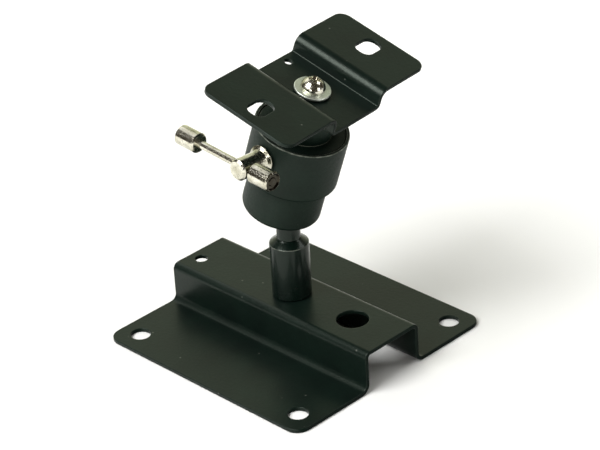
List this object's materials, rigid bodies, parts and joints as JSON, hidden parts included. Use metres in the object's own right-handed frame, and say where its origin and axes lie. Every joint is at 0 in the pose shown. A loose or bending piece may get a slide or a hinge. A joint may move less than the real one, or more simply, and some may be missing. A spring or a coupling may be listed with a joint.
{
  "type": "speaker wall bracket",
  "caption": "Folded steel wall plate with a post and clamped ball joint that aims a small folded speaker plate, locked by a screw with a sliding cross bar.",
  "frame": {"origin": "centre of the wall plate's back face, which lies on the wall", "axes": "+Z away from the wall along the post, +X along the wall plate's folds, +Y across them"},
  "size_m": [0.1, 0.098, 0.1159],
  "materials": {
    "black_paint": "satin powder coat",
    "black_casting": "satin powder coat on a casting",
    "nickel": "nickel plated",
    "zinc": "zinc plated",
    "nylon": "moulded"
  },
  "bodies": {
    "base": {"wall_plate": "black_paint", "mounting_post": "black_paint", "post_flat_washer": "zinc", "post_lock_washer": "zinc", "post_screw": "zinc"},
    "stud": {"ball_stud": "black_paint"},
    "socket": {"socket_housing": "black_casting"},
    "head": {"friction_pad": "nylon", "swivel_plug": "black_casting", "speaker_plate": "black_paint", "plate_washer": "nickel", "plate_screw": "nickel"},
    "clamp": {"clamp_screw": "nickel"},
    "bar": {"tommy_bar": "nickel", "bar_cap_near": "nickel", "bar_cap_far": "nickel"}
  },
  "joints": [
    {"name": "ball_swivel", "type": "hinge", "parent": "base", "child": "stud", "pos_m": [0, 0, 0.0604], "axis": [0, 0, 1], "continuous": true},
    {"name": "ball_tilt", "type": "hinge", "parent": "stud", "child": "socket", "pos_m": [0, 0, 0.0604], "axis": [-0.1942, 0.981, 0], "range_deg": [-45.2, 8.8]},
    {"name": "plate_swivel", "type": "hinge", "parent": "socket", "child": "head", "pos_m": [0.01313, 0.0026, 0.10111], "axis": [0.3064, 0.0607, 0.95], "continuous": true},
    {"name": "clamp_turn", "type": "hinge", "parent": "socket", "child": "clamp", "pos_m": [0.0063, -0.025, 0.08165], "axis": [-0.0004, -0.998, 0.0639], "range_deg": [-48, 21]},
    {"name": "bar_slide", "type": "slide", "parent": "clamp", "child": "bar", "axis": [0.9968, -0.0055, -0.0799], "range_m": [0, 0.0181]}
  ]
}
